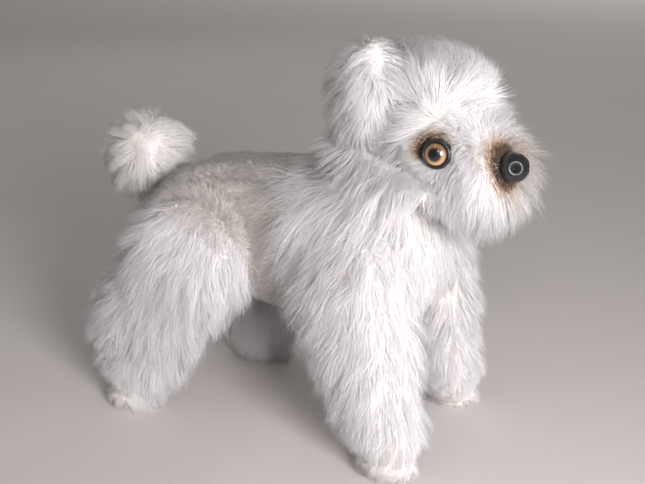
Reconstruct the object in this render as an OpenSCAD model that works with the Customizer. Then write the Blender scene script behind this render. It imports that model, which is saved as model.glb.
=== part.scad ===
// Jointed plush dog, standing. +X is forward, +Y is the dog's left, +Z is up.
// The origin is on the floor, under the middle of the dog.

/* [Torso] */
// Half of the torso's width between its flat sides
torso_half = 26; // [25:0.5:26]
// Radius of the chest, seen from the side
chest_r = 35; // [33:1:36]
// Distance of the chest centre in front of the middle
chest_x = 37; // [35:1:38]
// Radius of the rump, seen from the side
rump_r = 31; // [30:0.5:31]
// Distance of the rump centre behind the middle
rump_x = 47; // [46:0.5:47]
// Height of the torso's centre line
torso_z = 89; // [87:1:90]
// Thickness of the fur fabric, with its pile pressed down
skin_t = 3; // [2.5:0.25:3]

/* [Legs] */
// Height of the shoulder and hip bolts
joint_z = 84; // [82:1:85]
// Distance of the shoulder bolt in front of the middle
shoulder_x = 40; // [38:1:41]
// Distance of the hip bolt behind the middle
hip_x = 43; // [42:1:45]
// Radius of the top of a foreleg
fore_top_r = 26; // [24:1:26]
// Radius of a thigh
thigh_r = 30; // [28:1:30]
// Thickness of a leg at its top, from its flat inner face
leg_top_t = 24; // [22:1:26]
// Where the right forefoot stands
fore_foot_right = 64; // [58:1:68]
// Where the left forefoot stands
fore_foot_left = 60; // [54:1:64]
// Where the right hind foot stands, behind the middle
hind_foot_right = 78; // [70:1:80]
// Where the left hind foot stands, behind the middle
hind_foot_left = 51; // [46:1:60]

/* [Head] */
// Radius of the cranium
head_r = 27; // [26:0.5:28]
// Distance of the head centre in front of the middle
head_x = 62; // [60:1:63]
// Height of the head centre
head_z = 142; // [140:1:144]
// Forward tilt of the neck, in degrees
neck_tilt = 20; // [16:1:22]
// Turn of the head to the dog's right as it stands, in degrees
head_turn = 17; // [0:1:20]
// Diameter of a glass eye
eye_d = 10.4; // [10:0.2:11]
// Diameter of the nose
nose_d = 12.6; // [12:0.2:13]

/* [Tail] */
// Radius of the fur bob on the tail
pom_r = 16; // [14:0.5:16]
// Distance from the rump centre to the bob's centre
pom_reach = 54; // [52:0.5:55]

/* [Joint hardware] */
// Diameter of the joint bolts
bolt_d = 5; // [4:0.5:5]
// Diameter of the hardboard joint discs
disc_d = 24; // [22:1:24]
// Thickness of a joint disc
disc_t = 2; // [1.5:0.25:2]

/* [Hidden] */
torso_round = 10;            // rounding of the torso's flat sides
soft_gap = 0.2;              // between a skin and what it covers
side_gap = 0.4;              // between a leg and the torso
leg_in = torso_half + side_gap;
neck_x = 53;                 // where the neck bolt crosses the neck joint
neck_z = 122;
neck_r = 20;                 // radius of the torso's neck stub
neck_stub = 12;              // and its height
ruff_r = 36;                 // outer radius of the neck ruff
ruff_round = 7;              // half its height
ruff_low = 0.6;              // its clearance above the torso
seam_x = 12;                 // seam between the long chest fur and the short back fur
gusset_half = 13;            // half of the belly gusset's width
gusset_top = 70;
gusset_back = -62;
gusset_front = 50;
face_seam_x = 82;            // seam between the cheeks and the muzzle
crown_half = 8;              // half of the head gusset's width
ear_drop_left = 5;           // the left ear sits this much lower than the right
sole_t = 3;
middle_y = 42;               // middle of an elbow or hock, out from the dog's middle
foot_y = 39.8;               // middle of a foot
bore_r = bolt_d / 2 + 0.05;
hole_r = bolt_d / 2 + 0.5;
bolt_head_r = 4.5;
bolt_head_t = 3;
nut_r = 4.6;
nut_t = 4;
eye_out = [82.5, 19.8, 139.1];
eye_turn = 66;               // how far an eye turns away from straight ahead
eye_rim_r = 6.1;
eye_pocket = 0.9;
stem_r = 1.5;
nose_at = [105, 0, 136];
rump = [-rump_x, 0, torso_z];
pom_rise = 31;               // the tail's angle above level, in degrees
tail_sink = 1;               // the tail's ball sits this far under the rump's surface
ball_r = 6.5;
tail_r = 4.5;
tail_wall = 1.5;
big = 300;
form_fn = 20;                // facets round a stuffed form

$fn = 48;

// ---- Places ----

// Puts a part on the neck axis: its Z runs up the neck, from the joint's plane.
module on_neck() translate([neck_x, 0, neck_z]) rotate([0, neck_tilt, 0]) children();

// Swivels the head's parts, which are drawn looking straight ahead, about the neck axis.
module on_head() translate([neck_x, 0, neck_z]) rotate([0, neck_tilt, 0]) rotate([0, 0, -head_turn])
  rotate([0, -neck_tilt, 0]) translate([-neck_x, 0, -neck_z]) children();

// Puts a part on a leg joint: its Z runs outward from the torso's middle, side 1 left, -1 right.
module on_side(side, x) translate([x, 0, joint_z]) rotate([-90 * side, 0, 0]) children();

// Puts a part on an eye: its Z looks out of the head.
module on_eye(side)
  translate([eye_out[0], side * eye_out[1], eye_out[2]]) rotate([0, 90, side * eye_turn]) children();

// Puts a part on the nose: its Z looks forward.
module on_nose() translate(nose_at) rotate([0, 90, 0]) children();

// Puts a part on the tail's pivot: its Z runs out along the tail.
module on_tail()
  translate(rump) rotate([0, pom_rise - 90, 0]) translate([0, 0, rump_r - tail_sink]) children();

// ---- Soft forms: each is the outside of a stuffed shape, drawn in by an inset ----

// A round pillow along Z from low to high, its edges rounded by round_low and round_high.
module pillow(r, low, high, round_low, round_high) {
  for (a = [0, 35, 65, 90]) {
    translate([0, 0, low + round_low * (1 - cos(a))])
      cylinder(r = r - round_low * (1 - sin(a)), h = 0.1, $fn = form_fn);
    translate([0, 0, high - round_high * (1 - cos(a)) - 0.1])
      cylinder(r = r - round_high * (1 - sin(a)), h = 0.1, $fn = form_fn);
  }
}

module ball(at, radii, inset = 0)
  translate(at) scale([for (r = radii) (r - inset) / radii[0]]) sphere(r = radii[0], $fn = form_fn);

module torso_pillow(x, r, inset)
  translate([x, 0, torso_z]) rotate([90, 0, 0])
    pillow(r - inset, -(torso_half - inset), torso_half - inset,
           torso_round - inset / 2, torso_round - inset / 2);

module torso_form(inset) hull() {
  torso_pillow(chest_x, chest_r, inset);
  torso_pillow(-rump_x, rump_r, inset);
  on_neck() translate([0, 0, -soft_gap - inset - neck_stub])
    cylinder(r = neck_r - inset, h = neck_stub, $fn = form_fn + 4);
}

module torso_shell() difference() {
  torso_form(0);
  torso_form(skin_t);
  for (side = [-1, 1], x = [shoulder_x, -hip_x]) on_side(side, x) cylinder(r = hole_r, h = big / 2);
  on_neck() translate([0, 0, -20]) cylinder(r = hole_r, h = 30);
  tail_socket();
}

// The head and its muzzle.
module head_form(inset) difference() {
  hull() {
    ball([head_x, 0, head_z], [head_r, head_r, head_r], inset);
    ball([86, 0, 132], [17.5, 17.5, 17.5], inset);
    ball([93, 0, 132], [13, 16, 14], inset);
  }
  on_neck() translate([-big / 2, -big / 2, soft_gap + inset - big]) cube(big);
}

module head_shell() difference() {
  head_form(0);
  head_form(skin_t);
  on_neck() cylinder(r = hole_r, h = 10);
  for (side = [-1, 1]) on_eye(side) eye_pocket();
  on_nose() nose_pocket();
}

// A foreleg or hind leg: a flat-faced round top, then the elbow or hock, then the foot.
module leg_form(side, x, top_r, foot_x, middle_x, middle_r, inset) hull() {
  on_side(side, x) pillow(top_r - inset, leg_in + inset, leg_in + leg_top_t - inset, 3, 11 - inset / 2);
  ball([middle_x, side * middle_y, 40], [middle_r, 15, 23], inset);
  ball([foot_x, side * foot_y, 13], [17, 13.2, 16], inset);
}

module fore_form(side, foot_x, inset)
  leg_form(side, shoulder_x, fore_top_r, foot_x,
           shoulder_x + 0.6 * (foot_x - shoulder_x), 23, inset);

module hind_form(side, foot_x, inset)
  leg_form(side, -hip_x, thigh_r, foot_x, foot_x - 2, 21, inset);

// ---- Pockets and holes ----

module eye_pocket() {
  translate([0, 0, -eye_pocket]) cylinder(r = eye_rim_r + 0.15, h = 20);
  translate([0, 0, -8]) cylinder(r = stem_r + 0.2, h = 10);
}

module nose_pocket() {
  translate([0, 0, -0.3]) cylinder(r = nose_d / 2 + 0.2, h = 20);
  translate([0, 0, -9]) cylinder(r = stem_r + 0.2, h = 10);
}

module tail_socket() on_tail() sphere(r = ball_r + 0.4);

// Space inside the torso for a disc and its lock nut.
module torso_hardware_pocket(from, depth)
  translate([0, 0, from - depth]) cylinder(r = disc_d / 2 + soft_gap, h = depth + 5);

// ---- Torso ----

fur_white = "#f7f5f3";
fur_short = "#e9e4d9";
stuffing_white = "#fdfdfd";
hardboard = "#8a5f3b";
steel = "silver";

module gusset_box()
  translate([gusset_back, -gusset_half, 0]) cube([gusset_front - gusset_back, 2 * gusset_half, gusset_top]);

module chest_panel() color(fur_white) difference() {
  torso_shell();
  translate([seam_x - big, -big / 2, 0]) cube(big);
  gusset_box();
}

module back_panel(side) color(fur_short) difference() {
  torso_shell();
  translate([seam_x, -big / 2, 0]) cube(big);
  translate([-big / 2, side > 0 ? -big : 0, 0]) cube(big);
  gusset_box();
}
module back_panel_left() back_panel(1);
module back_panel_right() back_panel(-1);

module belly_gusset() color(fur_white) intersection() {
  torso_shell();
  gusset_box();
}

module body_stuffing() color(stuffing_white) difference() {
  torso_form(skin_t + soft_gap);
  for (side = [-1, 1], x = [shoulder_x, -hip_x])
    on_side(side, x) torso_hardware_pocket(torso_half - skin_t, 11);
  on_neck() torso_hardware_pocket(-skin_t, 16);
  on_tail() sphere(r = ball_r + 0.6);
}

module joint_disc() difference() {
  cylinder(d = disc_d, h = disc_t);
  translate([0, 0, -1]) cylinder(r = bore_r, h = disc_t + 2);
}

// A disc inside the torso, just under the skin.
module body_disc(side, x)
  color(hardboard) on_side(side, x) translate([0, 0, torso_half - skin_t - soft_gap - disc_t]) joint_disc();
module shoulder_body_disc_left() body_disc(1, shoulder_x);
module shoulder_body_disc_right() body_disc(-1, shoulder_x);
module hip_body_disc_left() body_disc(1, -hip_x);
module hip_body_disc_right() body_disc(-1, -hip_x);
module neck_body_disc()
  color(hardboard) on_neck() translate([0, 0, -2 * soft_gap - skin_t - disc_t]) joint_disc();

// ---- Head ----

module muzzle() color(fur_white) on_head() difference() {
  head_shell();
  translate([face_seam_x - big, -big / 2, 0]) cube(big);
}

module head_side(side) color(fur_white) on_head() difference() {
  head_shell();
  translate([face_seam_x, -big / 2, 0]) cube(big);
  translate([-big / 2, side > 0 ? crown_half - big : -crown_half, 0]) cube(big);
}
module head_side_left() head_side(1);
module head_side_right() head_side(-1);

module head_gusset() color(fur_white) on_head() intersection() {
  head_shell();
  translate([face_seam_x - big, -crown_half, 0]) cube([big, 2 * crown_half, big]);
}

module topknot_form(grow = 0) hull() ball([59, 0, 159], [27, 24, 15], -grow);

module topknot() color(fur_white) on_head() difference() {
  topknot_form();
  head_form(-0.3);
}

module ear_form(side, drop, grow = 0)
  hull() ball([46, side * 23.5, 162 - drop], [10, 6.5, 20], -grow);

module ear(side, drop) color(fur_white) on_head() difference() {
  ear_form(side, drop);
  head_form(-0.3);
  topknot_form(0.3);
}
module ear_left() ear(1, ear_drop_left);
module ear_right() ear(-1, 0);

// A thick collar of fur that turns with the head, clear of the torso below it.
module neck_ruff() color(fur_white) on_head() difference() {
  on_neck() rotate_extrude() {
    translate([0, ruff_low]) square([ruff_r - ruff_round, 2 * ruff_round]);
    translate([ruff_r - ruff_round, ruff_low + ruff_round]) circle(r = ruff_round);
  }
  head_form(-0.3);
  ear_form(1, ear_drop_left, 0.4);
}

module head_stuffing() color(stuffing_white) on_head() difference() {
  head_form(skin_t + soft_gap);
  on_neck() cylinder(r = disc_d / 2 + soft_gap, h = 14);
  for (side = [-1, 1]) on_eye(side) translate([0, 0, -7]) cylinder(r = 5.2, h = 20);
  on_nose() translate([0, 0, -9]) cylinder(r = 4.2, h = 20);
}

// A domed glass eye on a short stem.
module eye(side) color("#7a4a12") on_head() on_eye(side) {
  intersection() {
    translate([0, 0, -2.6]) sphere(r = 6.2);
    translate([0, 0, -0.7]) cylinder(d = eye_d, h = 10);
  }
  translate([0, 0, -5.5]) cylinder(r = stem_r, h = 5);
}
module eye_left() eye(1);
module eye_right() eye(-1);

module eye_rim(side) color("black") on_head() on_eye(side) translate([0, 0, -0.8]) difference() {
  cylinder(r = eye_rim_r, h = 2.1);
  translate([0, 0, -1]) cylinder(r = eye_d / 2 + 0.05, h = 5);
}
module eye_rim_left() eye_rim(1);
module eye_rim_right() eye_rim(-1);

module push_washer(r, low) translate([0, 0, low]) difference() {
  cylinder(r = r, h = 1);
  translate([0, 0, -1]) cylinder(r = stem_r + 0.05, h = 3);
}
module eye_washer_left() color(steel) on_head() on_eye(1) push_washer(4.8, -4.6);
module eye_washer_right() color(steel) on_head() on_eye(-1) push_washer(4.8, -4.6);
module nose_washer() color(steel) on_head() on_nose() push_washer(3, -6);

module nose() color("#1a1a1a") on_head() on_nose() {
  intersection() {
    scale(nose_d / 13) translate([0, 0, 0.1]) sphere(r = 6.5);
    cylinder(r = nose_d, h = 20);
  }
  translate([0, 0, -7.2]) cylinder(r = stem_r, h = 7.3);
}

// A joint bolt: its head lies at high, inside the limb, and its shank runs down to low.
module joint_bolt(low, high) {
  translate([0, 0, low]) cylinder(d = bolt_d, h = high - low + 0.5);
  translate([0, 0, high]) cylinder(r = bolt_head_r, h = bolt_head_t);
}

module lock_nut(low) translate([0, 0, low]) difference() {
  cylinder(r = nut_r, h = nut_t, $fn = 6);
  translate([0, 0, -1]) cylinder(r = bore_r, h = nut_t + 2);
}

neck_disc_low = skin_t + 2 * soft_gap;
module neck_head_disc() color(hardboard) on_neck() translate([0, 0, neck_disc_low]) joint_disc();
module neck_bolt()
  color(steel) on_neck() joint_bolt(-neck_disc_low - disc_t - nut_t - 2, neck_disc_low + disc_t + soft_gap);
module neck_lock_nut() color(steel) on_neck() lock_nut(-neck_disc_low - disc_t - nut_t - soft_gap);

// ---- Legs ----

// Skin of a leg: open below, where the sole closes it.
module leg_skin(side, x) color(fur_white) difference() {
  children(0);
  children(1);
  translate([-big / 2, -big / 2, sole_t - big]) cube(big);
  on_side(side, x) translate([0, 0, torso_half]) cylinder(r = hole_r, h = 8);
}

module leg_stuffing(side, x) color(stuffing_white) difference() {
  children();
  translate([-big / 2, -big / 2, sole_t + soft_gap - big]) cube(big);
  on_side(side, x) translate([0, 0, torso_half]) cylinder(r = disc_d / 2 + soft_gap, h = 10);
}

// The flat oval under a foot, as wide as the foot is where the skin is cut.
module leg_sole(side, foot_x) color(fur_short)
  translate([foot_x, side * foot_y, 0]) linear_extrude(sole_t)
    polygon([for (a = [0 : 15 : 345]) [13.5 * cos(a), 10.5 * sin(a)]]);

module foreleg_skin_left() leg_skin(1, shoulder_x) {
  fore_form(1, fore_foot_left, 0);
  fore_form(1, fore_foot_left, skin_t);
}
module foreleg_skin_right() leg_skin(-1, shoulder_x) {
  fore_form(-1, fore_foot_right, 0);
  fore_form(-1, fore_foot_right, skin_t);
}
module hindleg_skin_left() leg_skin(1, -hip_x) {
  hind_form(1, -hind_foot_left, 0);
  hind_form(1, -hind_foot_left, skin_t);
}
module hindleg_skin_right() leg_skin(-1, -hip_x) {
  hind_form(-1, -hind_foot_right, 0);
  hind_form(-1, -hind_foot_right, skin_t);
}

module foreleg_stuffing_left()
  leg_stuffing(1, shoulder_x) fore_form(1, fore_foot_left, skin_t + soft_gap);
module foreleg_stuffing_right()
  leg_stuffing(-1, shoulder_x) fore_form(-1, fore_foot_right, skin_t + soft_gap);
module hindleg_stuffing_left()
  leg_stuffing(1, -hip_x) hind_form(1, -hind_foot_left, skin_t + soft_gap);
module hindleg_stuffing_right()
  leg_stuffing(-1, -hip_x) hind_form(-1, -hind_foot_right, skin_t + soft_gap);

module foreleg_sole_left() leg_sole(1, fore_foot_left);
module foreleg_sole_right() leg_sole(-1, fore_foot_right);
module hindleg_sole_left() leg_sole(1, -hind_foot_left);
module hindleg_sole_right() leg_sole(-1, -hind_foot_right);

limb_disc_low = leg_in + skin_t + soft_gap;
body_disc_low = torso_half - skin_t - soft_gap - disc_t;
module limb_disc(side, x) color(hardboard) on_side(side, x) translate([0, 0, limb_disc_low]) joint_disc();
module leg_bolt(side, x) color(steel) on_side(side, x)
  joint_bolt(body_disc_low - nut_t - 2, limb_disc_low + disc_t + soft_gap);
module leg_nut(side, x) color(steel) on_side(side, x) lock_nut(body_disc_low - nut_t - soft_gap);

module shoulder_limb_disc_left() limb_disc(1, shoulder_x);
module shoulder_limb_disc_right() limb_disc(-1, shoulder_x);
module hip_limb_disc_left() limb_disc(1, -hip_x);
module hip_limb_disc_right() limb_disc(-1, -hip_x);
module shoulder_bolt_left() leg_bolt(1, shoulder_x);
module shoulder_bolt_right() leg_bolt(-1, shoulder_x);
module hip_bolt_left() leg_bolt(1, -hip_x);
module hip_bolt_right() leg_bolt(-1, -hip_x);
module shoulder_lock_nut_left() leg_nut(1, shoulder_x);
module shoulder_lock_nut_right() leg_nut(-1, shoulder_x);
module hip_lock_nut_left() leg_nut(1, -hip_x);
module hip_lock_nut_right() leg_nut(-1, -hip_x);

// ---- Tail ----

pom_out = pom_reach - rump_r + tail_sink; // from the tail's pivot to the bob's centre

// A ball in the rump's socket and a stem into the bob, drawn in by an inset.
module tail_form(inset) {
  sphere(r = ball_r - inset);
  cylinder(r = tail_r - inset, h = pom_out + 4 - inset);
}

module tail_skin() color(fur_short) on_tail() difference() {
  tail_form(0);
  tail_form(tail_wall);
}

module tail_pom() color(fur_white) on_tail() difference() {
  translate([0, 0, pom_out]) sphere(r = pom_r);
  cylinder(r = tail_r + soft_gap, h = pom_out + 4 + soft_gap);
}

module tail_stuffing() color(stuffing_white) on_tail() difference() {
  tail_form(tail_wall + soft_gap);
  translate([0, 0, -3]) cylinder(r = 0.85, h = pom_out);
}

module tail_wire() color(steel) on_tail() translate([0, 0, -2.8]) cylinder(r = 0.8, h = pom_out - 1);

// ---- Every node ----

chest_panel();
back_panel_left();
back_panel_right();
belly_gusset();
body_stuffing();
neck_body_disc();
shoulder_body_disc_left();
shoulder_body_disc_right();
hip_body_disc_left();
hip_body_disc_right();
head_side_left();
head_side_right();
head_gusset();
muzzle();
topknot();
neck_ruff();
ear_left();
ear_right();
head_stuffing();
eye_left();
eye_right();
eye_rim_left();
eye_rim_right();
eye_washer_left();
eye_washer_right();
nose();
nose_washer();
neck_bolt();
neck_head_disc();
neck_lock_nut();
foreleg_skin_left();
foreleg_sole_left();
foreleg_stuffing_left();
shoulder_limb_disc_left();
shoulder_bolt_left();
shoulder_lock_nut_left();
foreleg_skin_right();
foreleg_sole_right();
foreleg_stuffing_right();
shoulder_limb_disc_right();
shoulder_bolt_right();
shoulder_lock_nut_right();
hindleg_skin_left();
hindleg_sole_left();
hindleg_stuffing_left();
hip_limb_disc_left();
hip_bolt_left();
hip_lock_nut_left();
hindleg_skin_right();
hindleg_sole_right();
hindleg_stuffing_right();
hip_limb_disc_right();
hip_bolt_right();
hip_lock_nut_right();
tail_skin();
tail_pom();
tail_stuffing();
tail_wire();
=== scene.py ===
"""A jointed plush dog: fur, eyes, nose and materials round its CAD frame.

Lengths in the fur and skin sections are in millimetres, as the dog was measured, and MM turns them
into Blender's metres when a mesh is made. +X is forward, +Y is the dog's left, +Z is up.
"""

import math

import bmesh
import bpy
import numpy as np
from mathutils import Matrix, Vector, kdtree


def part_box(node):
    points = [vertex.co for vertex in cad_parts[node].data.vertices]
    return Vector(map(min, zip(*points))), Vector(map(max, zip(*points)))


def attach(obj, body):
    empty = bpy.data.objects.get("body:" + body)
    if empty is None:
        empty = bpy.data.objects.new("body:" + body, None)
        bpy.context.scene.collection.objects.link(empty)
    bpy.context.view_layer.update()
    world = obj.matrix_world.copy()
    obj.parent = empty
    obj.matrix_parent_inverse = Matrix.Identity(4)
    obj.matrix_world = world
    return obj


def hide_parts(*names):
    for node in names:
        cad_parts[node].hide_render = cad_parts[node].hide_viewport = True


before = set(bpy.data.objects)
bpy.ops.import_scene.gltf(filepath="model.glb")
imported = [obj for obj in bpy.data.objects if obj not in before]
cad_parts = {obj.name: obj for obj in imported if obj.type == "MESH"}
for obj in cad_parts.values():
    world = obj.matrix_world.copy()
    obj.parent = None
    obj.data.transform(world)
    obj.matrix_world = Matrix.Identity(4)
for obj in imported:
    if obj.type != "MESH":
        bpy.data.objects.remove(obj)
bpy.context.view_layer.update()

MM = 0.001
SEED = 20
DOWN = np.array([0.0, 0.0, -1.0])
SIDES = {"left": 1, "right": -1}


# ---------------------------------------------------------------- camera, floor and light

CAMERA_AT = (0.24448, -0.41351, 0.24269)
CAMERA_AZIMUTH = 29.67
CAMERA_PITCH = 18.22
CAMERA_LENS = 60

FLOOR_COLOUR = (0.68, 0.648, 0.632)
WORLD_COLOUR = (1.0, 0.96, 0.93)
WORLD_STRENGTH = 0.22


def make_camera():
    camera = bpy.data.objects.new("camera", bpy.data.cameras.new("camera"))
    bpy.context.scene.collection.objects.link(camera)
    camera.location = CAMERA_AT
    camera.rotation_euler = (math.radians(90 - CAMERA_PITCH), 0, math.radians(CAMERA_AZIMUTH))
    camera.data.lens = CAMERA_LENS
    camera.data.clip_start = 0.02
    bpy.context.scene.camera = camera


def make_floor():
    bpy.ops.mesh.primitive_plane_add(size=16)
    floor = bpy.context.object
    floor.name = "floor"
    material, nodes, links, shader = node_material("paper_floor", roughness=0.75)
    fine = noise(nodes, scale=9.0, detail=2)
    tint = colour_ramp(nodes, [(0.3, shade(FLOOR_COLOUR, 0.985)), (0.7, FLOOR_COLOUR)])
    links.new(fine.outputs["Fac"], tint.inputs["Fac"])
    links.new(tint.outputs["Color"], shader.inputs["Base Color"])
    floor.data.materials.append(material)


def area_light(name, at, aim, size, power, colour, spread=180):
    light = bpy.data.objects.new(name, bpy.data.lights.new(name, "AREA"))
    bpy.context.scene.collection.objects.link(light)
    light.data.shape = "DISK"
    light.data.size = size
    light.data.energy = power
    light.data.color = colour
    light.location = at
    light.data.spread = math.radians(spread)
    light.rotation_euler = (Vector(aim) - Vector(at)).to_track_quat("-Z", "Y").to_euler()


def make_lights():
    world = bpy.data.worlds.new("studio")
    bpy.context.scene.world = world
    world.use_nodes = True
    background = world.node_tree.nodes["Background"]
    background.inputs["Color"].default_value = (*WORLD_COLOUR, 1)
    background.inputs["Strength"].default_value = WORLD_STRENGTH
    area_light("key", (0.60, -0.48, 0.28), (0.05, 0, 0.10), 0.3, 3.2, (1, 0.955, 0.985), spread=110)
    area_light("fill", (0.37, -0.78, 0.56), (0.02, 0, 0.07), 0.16, 0.9, (1, 0.965, 0.99))
    area_light("rear", (-0.75, 0.85, 0.7), (0, 0, 0.08), 0.8, 0.6, (1, 0.97, 0.96))
    area_light("backdrop", (-0.6, 3.4, 1.8), (-0.6, 3.6, 0), 1.2, 29, (1, 0.97, 0.94))
    bpy.context.scene.view_settings.view_transform = "Standard"


# ---------------------------------------------------------------- material helpers


def shade(colour, amount):
    return tuple(c * amount for c in colour)


def node_material(name, roughness, **constants):
    """A new Principled material: (material, nodes, links, shader). Constants are socket values."""
    material = bpy.data.materials.new(name)
    material.use_nodes = True
    nodes, links = material.node_tree.nodes, material.node_tree.links
    shader = nodes["Principled BSDF"]
    shader.inputs["Roughness"].default_value = roughness
    for socket, value in constants.items():
        shader.inputs[socket.replace("_", " ")].default_value = value
    return material, nodes, links, shader


def noise(nodes, scale, detail=3, stretch=(1, 1, 1)):
    """Noise in the piece's own coordinates; scale is in features per metre."""
    links = nodes.id_data.links
    place = nodes.new("ShaderNodeTexCoord")
    mapping = nodes.new("ShaderNodeMapping")
    mapping.inputs["Scale"].default_value = stretch
    texture = nodes.new("ShaderNodeTexNoise")
    texture.inputs["Scale"].default_value = scale
    texture.inputs["Detail"].default_value = detail
    links.new(place.outputs["Object"], mapping.inputs["Vector"])
    links.new(mapping.outputs["Vector"], texture.inputs["Vector"])
    return texture


def colour_ramp(nodes, stops):
    ramp = nodes.new("ShaderNodeValToRGB")
    elements = ramp.color_ramp.elements
    while len(elements) < len(stops):
        elements.new(0.5)
    for element, (position, colour) in zip(elements, stops):
        element.position = position
        element.color = (*colour, 1)
    return ramp


def bump(nodes, height, shader, distance):
    links = nodes.id_data.links
    node = nodes.new("ShaderNodeBump")
    node.inputs["Distance"].default_value = distance
    node.inputs["Strength"].default_value = 1
    links.new(height, node.inputs["Height"])
    links.new(node.outputs["Normal"], shader.inputs["Normal"])


def mottled(name, dark, light, scale, roughness, relief=0.0, stretch=(1, 1, 1), **constants):
    """A material whose colour wanders between two tones, with an optional relief in metres."""
    material, nodes, links, shader = node_material(name, roughness, **constants)
    texture = noise(nodes, scale, 4, stretch)
    tint = colour_ramp(nodes, [(0.35, dark), (0.65, light)])
    links.new(texture.outputs["Fac"], tint.inputs["Fac"])
    links.new(tint.outputs["Color"], shader.inputs["Base Color"])
    if relief:
        bump(nodes, texture.outputs["Fac"], shader, relief)
    return material


# ---------------------------------------------------------------- materials

TONE_COLUMNS = 64
TONES = [
    (0.00, (0.010, 0.007, 0.005)),  # black-brown
    (0.14, (0.060, 0.032, 0.018)),  # dark brown
    (0.28, (0.260, 0.140, 0.070)),  # brown
    (0.42, (0.560, 0.410, 0.300)),  # tan
    (0.50, (0.680, 0.638, 0.580)),  # velvet: its own cream-grey, darkened part way by painted shade
    (0.56, (0.900, 0.850, 0.760)),  # cream
    (0.70, (0.960, 0.940, 0.905)),  # warm white
    (0.85, (0.975, 0.952, 0.968)),  # white with a breath of pink
    (1.00, (0.965, 0.960, 0.975)),  # cool white
]
BLACK_BROWN, DARK_BROWN, BROWN, TAN, SHADED_VELVET, CREAM, WARM_WHITE, PINK_WHITE, COOL_WHITE = (t[0] for t in TONES)
STRAND_UV = "OFBake"


def fur_material():
    """Tone runs across the strand map's columns, and each strand pales from its root up."""
    material, nodes, links, shader = node_material("mohair", roughness=0.6)
    shader.inputs["Specular IOR Level"].default_value = 0.25
    shader.inputs["Sheen Weight"].default_value = 0.2
    shader.inputs["Subsurface Weight"].default_value = 0.7
    shader.inputs["Subsurface Radius"].default_value = (1, 1, 1)
    shader.inputs["Subsurface Scale"].default_value = 0.0006
    place = nodes.new("ShaderNodeUVMap")
    place.uv_map = STRAND_UV
    split = nodes.new("ShaderNodeSeparateXYZ")
    tone = colour_ramp(nodes, TONES)
    along = colour_ramp(nodes, [(0.0, (0.90, 0.875, 0.84)), (0.55, (1, 1, 1))])
    product = nodes.new("ShaderNodeMix")
    product.data_type = "RGBA"
    product.blend_type = "MULTIPLY"
    product.inputs["Factor"].default_value = 1
    links.new(place.outputs["UV"], split.inputs["Vector"])
    links.new(split.outputs["X"], tone.inputs["Fac"])
    links.new(split.outputs["Y"], along.inputs["Fac"])
    links.new(tone.outputs["Color"], product.inputs["A"])
    links.new(along.outputs["Color"], product.inputs["B"])
    links.new(product.outputs["Result"], shader.inputs["Base Color"])
    return material


def make_materials():
    return {
        "fur": fur_material(),
        "backing": mottled("knit_backing", (0.80, 0.75, 0.67), (0.88, 0.84, 0.77), 900, 0.9, 0.0004),
        "sole": mottled("sole_plush", (0.74, 0.68, 0.58), (0.85, 0.80, 0.70), 1400, 0.9, 0.0005),
        "stuffing": mottled("fibre_stuffing", (0.84, 0.84, 0.84), (0.95, 0.95, 0.95), 260, 0.95),
        "hardboard": mottled("hardboard", (0.13, 0.07, 0.035), (0.26, 0.15, 0.08), 700, 0.8,
                             stretch=(1, 1, 3)),
        "steel": mottled("zinc_steel", (0.42, 0.42, 0.44), (0.62, 0.62, 0.63), 500, 0.35,
                         stretch=(1, 1, 8), Metallic=1.0),
        "rim": mottled("eye_leather", (0.006, 0.005, 0.005), (0.022, 0.018, 0.016), 1800, 0.38, 0.0002),
        "nose": mottled("nose_black", (0.008, 0.008, 0.009), (0.020, 0.020, 0.022), 1500, 0.33, 0.00008),
    }


make_camera()
make_floor()
make_lights()
material_of = make_materials()


# ---------------------------------------------------------------- mesh helpers


def unit(v):
    return v / np.maximum(np.linalg.norm(v, axis=-1, keepdims=True), 1e-9)


def rise(low, high, value):
    """0 below low, 1 above high, smooth between."""
    t = np.clip((value - low) / (high - low), 0, 1)
    return t * t * (3 - 2 * t)


def dot(a, b):
    return (a * b).sum(-1, keepdims=True)


def points_of(mesh):
    """A mesh's vertices as an array, in millimetres."""
    co = np.empty(len(mesh.vertices) * 3, np.float32)
    mesh.vertices.foreach_get("co", co)
    return co.reshape(-1, 3).astype(float) / MM


def set_points(mesh, points):
    mesh.vertices.foreach_set("co", (points * MM).astype(np.float32).ravel())
    mesh.update()


def new_piece(name, mesh, body, material, replaces=()):
    piece = bpy.data.objects.new(name, mesh)
    bpy.context.scene.collection.objects.link(piece)
    mesh.materials.clear()
    mesh.materials.append(material_of[material])
    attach(piece, body)
    if replaces:
        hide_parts(*replaces)
    return piece


def mesh_from(name, points, faces):
    """A mesh from points in millimetres and lists of point numbers."""
    mesh = bpy.data.meshes.new(name)
    mesh.from_pydata([tuple(p) for p in np.asarray(points) * MM], [], faces)
    mesh.polygons.foreach_set("use_smooth", [True] * len(mesh.polygons))
    return mesh


def node_points(*nodes):
    return np.concatenate([points_of(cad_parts[n].data) for n in nodes])


def hull_mesh(name, points):
    form = bmesh.new()
    for p in points * MM:
        form.verts.new(p)
    made = bmesh.ops.convex_hull(form, input=form.verts)
    loose = [g for g in made["geom_interior"] + made["geom_unused"] if isinstance(g, bmesh.types.BMVert)]
    bmesh.ops.delete(form, geom=list(set(loose)), context="VERTS")
    mesh = bpy.data.meshes.new(name)
    form.to_mesh(mesh)
    form.free()
    return mesh


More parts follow.
